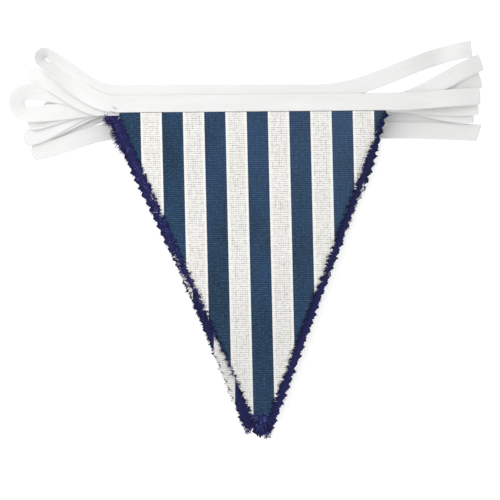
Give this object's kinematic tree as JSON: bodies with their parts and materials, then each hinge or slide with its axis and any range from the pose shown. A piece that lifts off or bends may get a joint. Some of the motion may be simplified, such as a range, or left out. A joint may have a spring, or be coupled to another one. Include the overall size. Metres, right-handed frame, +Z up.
{
  "type": "folded fabric bunting",
  "caption": "String of triangular cloth flags on a tape, folded back and forth into a flat bundle, with striped and plain flags in turn and looped tape at both sides.",
  "frame": {"origin": "middle of the bundle's outline, on the surface it lies on", "axes": "+X along the tape to the viewer's right, +Y from the flags' points towards the tape, +Z up from the surface to the front flag's face"},
  "size_m": [0.358, 0.2972, 0.0235],
  "materials": {
    "striped_cloth": "matt open plain weave with woven navy and cream stripes",
    "navy_cloth": "matt plain weave, navy",
    "white_tape": "matt folded cotton tape, white"
  },
  "bodies": {
    "root": {"flag_01": "striped_cloth", "flag_02": "navy_cloth", "flag_03": "striped_cloth", "flag_04": "navy_cloth", "flag_05": "striped_cloth", "flag_06": "navy_cloth", "flag_07": "striped_cloth", "flag_08": "navy_cloth", "flag_09": "striped_cloth", "flag_10": "navy_cloth", "flag_11": "striped_cloth", "flag_12": "navy_cloth", "tape": "white_tape"}
  },
  "joints": []
}
